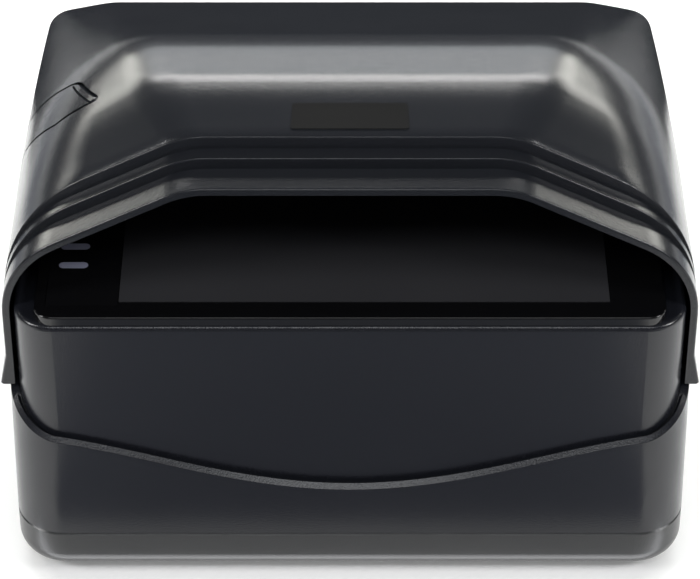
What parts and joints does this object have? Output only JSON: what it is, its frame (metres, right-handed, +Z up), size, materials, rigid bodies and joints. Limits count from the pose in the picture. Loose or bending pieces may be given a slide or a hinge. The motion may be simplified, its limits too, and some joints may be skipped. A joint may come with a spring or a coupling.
{
  "type": "travel document scanner",
  "caption": "Desktop full-page travel document scanner with a glass reading window under an open-fronted hinged hood.",
  "frame": {"origin": "bottom centre of the object's box, on the surface that the four feet stand on", "axes": "+Z up, the open front of the hood faces -Y, +X to the right seen from the front"},
  "size_m": [0.188, 0.1703, 0.1393],
  "materials": {
    "tray_plastic": "fine-textured charcoal",
    "body_plastic": "fine-textured charcoal, satin",
    "hood_plastic": "fine-textured charcoal, satin",
    "gloss_black": "polished black",
    "document_glass": "dark coated glass",
    "smoked_strip": "smoked, polished",
    "light_bar": "frosted",
    "rubber": "soft black",
    "foam": "closed-cell foam",
    "steel": "zinc plated",
    "black_plastic": "fine matt",
    "circuit_board": "green solder mask",
    "lamp": "clear-topped lamp",
    "diffuser": "frosted acrylic",
    "sensor_glass": "polished",
    "anodised": "black anodised",
    "lens_glass": "coated lens",
    "chip": "moulded epoxy",
    "connector_plastic": "ivory",
    "flex_film": "amber film",
    "plated_shell": "nickel plated",
    "cast_zinc": "raw casting",
    "washer_plastic": "natural acetal",
    "label": "matt black, bare"
  },
  "bodies": {
    "base": {"base_tray": "tray_plastic", "rubber_feet": "rubber", "case_screws": "steel", "lower_skirt": "body_plastic", "hood_bumpers": "rubber", "upper_housing": "body_plastic", "deck_plate": "gloss_black", "document_glass": "document_glass", "glass_gasket": "foam", "indicator_strip": "smoked_strip", "light_bars": "light_bar", "indicator_board": "circuit_board", "indicator_lamps": "lamp", "light_box": "black_plastic", "light_box_screws": "steel", "white_light_boards": "circuit_board", "white_lamps": "lamp", "light_diffusers": "diffuser", "uv_light_boards": "circuit_board", "uv_lamps": "lamp", "camera_board": "circuit_board", "camera_screws": "steel", "image_sensor": "sensor_glass", "lens_holder": "black_plastic", "lens_barrel": "anodised", "front_lens": "lens_glass", "antenna_board": "circuit_board", "main_board": "circuit_board", "main_board_screws": "steel", "processor": "chip", "heat_sink": "anodised", "board_components": "chip", "board_connectors": "connector_plastic", "camera_flex": "flex_film", "usb_socket": "plated_shell", "power_jack": "black_plastic", "switch_frame": "black_plastic", "hinge_brackets": "cast_zinc", "hinge_screws": "steel", "hinge_pins": "steel", "hinge_washers": "washer_plastic", "pin_clips": "steel", "strike_plate": "steel"},
    "hood": {"hood_shell": "hood_plastic", "label_plate": "label", "lever_pin": "steel", "lever_spring": "steel"},
    "release_lever": {"release_lever": "hood_plastic", "latch_magnet": "plated_shell"},
    "power_rocker": {"power_rocker": "black_plastic"}
  },
  "joints": [
    {"name": "hood_hinge", "type": "hinge", "parent": "base", "child": "hood", "pos_m": [0, 0.071, 0.0743], "axis": [-1, 0, 0], "range_deg": [0, 85]},
    {"name": "lever_pivot", "type": "hinge", "parent": "hood", "child": "release_lever", "pos_m": [-0.0835, -0.014, 0.095], "axis": [0, 1, 0], "range_deg": [0, 5], "stiffness_Nm_per_rad": 0.1, "springref_deg": -5.73},
    {"name": "rocker_pivot", "type": "hinge", "parent": "base", "child": "power_rocker", "pos_m": [0.052, 0.0808, 0.0286], "axis": [0, 0, 1], "range_deg": [0, 18]}
  ]
}
